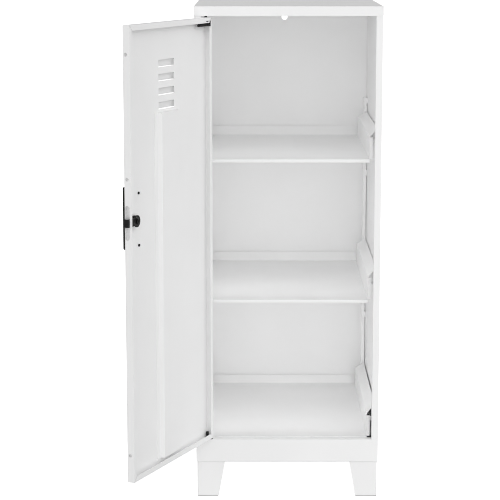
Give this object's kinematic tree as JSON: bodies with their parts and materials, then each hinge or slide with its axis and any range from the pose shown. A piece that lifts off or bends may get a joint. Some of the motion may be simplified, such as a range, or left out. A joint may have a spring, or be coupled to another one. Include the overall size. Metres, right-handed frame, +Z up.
{
  "type": "locker cabinet",
  "caption": "Tall narrow steel locker cabinet with one louvred door, hook-in shelves, a cam lock, a pull handle and short tapered legs.",
  "frame": {"origin": "on the floor under the middle of the cabinet body, in the plane of its four feet", "axes": "+Z up, front and door opening towards -Y, hinge side towards -X"},
  "size_m": [0.4868, 0.7545, 0.9758],
  "materials": {
    "white_powder_coat": "satin, fine texture",
    "black_steel": "semi-gloss black",
    "black_handle": "satin black moulding",
    "black_nylon": "matte",
    "grey_plastic": "matte",
    "zinc_steel": "bright zinc"
  },
  "bodies": {
    "cabinet": {"left_side_panel": "white_powder_coat", "right_side_panel": "white_powder_coat", "back_panel": "white_powder_coat", "top_cover": "white_powder_coat", "header_rail": "white_powder_coat", "plinth": "white_powder_coat", "bottom_panel": "white_powder_coat", "leg_front_left": "white_powder_coat", "leg_front_right": "white_powder_coat", "leg_rear_left": "white_powder_coat", "leg_rear_right": "white_powder_coat", "glide_front_left": "grey_plastic", "glide_front_right": "grey_plastic", "glide_rear_left": "grey_plastic", "glide_rear_right": "grey_plastic", "leg_bolts": "zinc_steel", "leg_nuts": "zinc_steel", "rail_front_left": "white_powder_coat", "rail_front_right": "white_powder_coat", "rail_rear_left": "white_powder_coat", "rail_rear_right": "white_powder_coat", "back_rivets": "white_powder_coat", "lower_hinge_pin": "black_steel", "hinge_washer": "black_nylon", "upper_hinge_bush": "black_nylon"},
    "door": {"door_panel": "white_powder_coat", "door_stiffener": "white_powder_coat", "lower_hinge_bush": "black_nylon", "upper_hinge_bracket": "black_steel", "pull_handle": "black_handle", "handle_screws": "black_steel", "lock_body": "black_steel", "lock_nut": "black_steel"},
    "hinge_pin": {"upper_hinge_pin": "black_steel"},
    "lock_cam_set": {"lock_plug": "zinc_steel", "lock_cam": "black_steel", "cam_screw": "black_steel"},
    "shelf_lower_body": {"shelf_lower": "white_powder_coat"},
    "shelf_middle_body": {"shelf_middle": "white_powder_coat"},
    "shelf_upper_body": {"shelf_upper": "white_powder_coat"}
  },
  "joints": [
    {"name": "door_hinge", "type": "hinge", "parent": "cabinet", "child": "door", "pos_m": [-0.1591, -0.2227, 0.53735], "axis": [0, 0, 1], "range_deg": [-3.5, 114.5]},
    {"name": "lock_turn", "type": "hinge", "parent": "door", "child": "lock_cam_set", "pos_m": [-0.28159, -0.49173, 0.602], "axis": [0.91, -0.4147, 0], "range_deg": [0, 90]},
    {"name": "hinge_pin_slide", "type": "slide", "parent": "door", "child": "hinge_pin", "axis": [0, 0, 1], "range_m": [-0.008, 0]},
    {"name": "shelf_lower_lift", "type": "slide", "parent": "cabinet", "child": "shelf_lower_body", "axis": [0, 0, 1], "range_m": [0, 0.009]},
    {"name": "shelf_middle_lift", "type": "slide", "parent": "cabinet", "child": "shelf_middle_body", "axis": [0, 0, 1], "range_m": [0, 0.009]},
    {"name": "shelf_upper_lift", "type": "slide", "parent": "cabinet", "child": "shelf_upper_body", "axis": [0, 0, 1], "range_m": [0, 0.009]}
  ]
}
